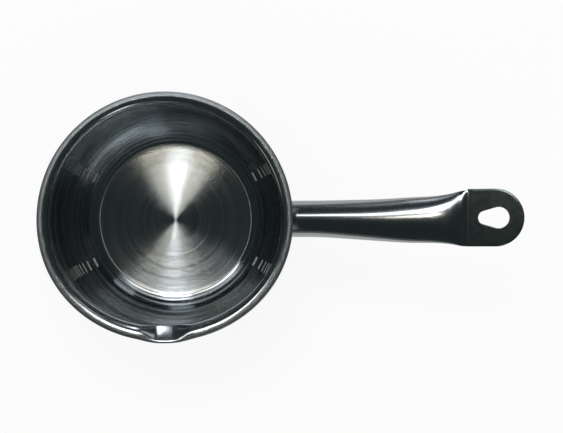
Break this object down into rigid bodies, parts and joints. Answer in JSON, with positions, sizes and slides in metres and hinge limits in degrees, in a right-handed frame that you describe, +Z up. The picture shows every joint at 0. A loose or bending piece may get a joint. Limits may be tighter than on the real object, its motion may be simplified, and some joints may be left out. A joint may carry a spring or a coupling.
{
  "type": "milk pan",
  "caption": "Polished steel milk pan with a rolled rim, one pouring lip, a clad heat base and a tube handle pressed flat at its end with a hanging hole.",
  "frame": {"origin": "centre of the base's rest face, on the table", "axes": "+Z up through the open mouth, +X out along the handle, -Y out through the pouring lip"},
  "size_m": [0.2882, 0.1513, 0.1106],
  "materials": {
    "bowl_steel": "polished wall, turned floor",
    "cap_steel": "concentric brushed",
    "core_aluminium": "plain",
    "bracket_steel": "satin",
    "weld_steel": "ground",
    "handle_steel": "polished tube, satin flat end",
    "rivet_steel": "satin"
  },
  "bodies": {
    "root": {"pan_bowl": "bowl_steel", "base_cap": "cap_steel", "base_core": "core_aluminium", "handle_bracket": "bracket_steel", "bracket_welds": "weld_steel", "handle_tube": "handle_steel", "handle_rivet": "rivet_steel"}
  },
  "joints": []
}
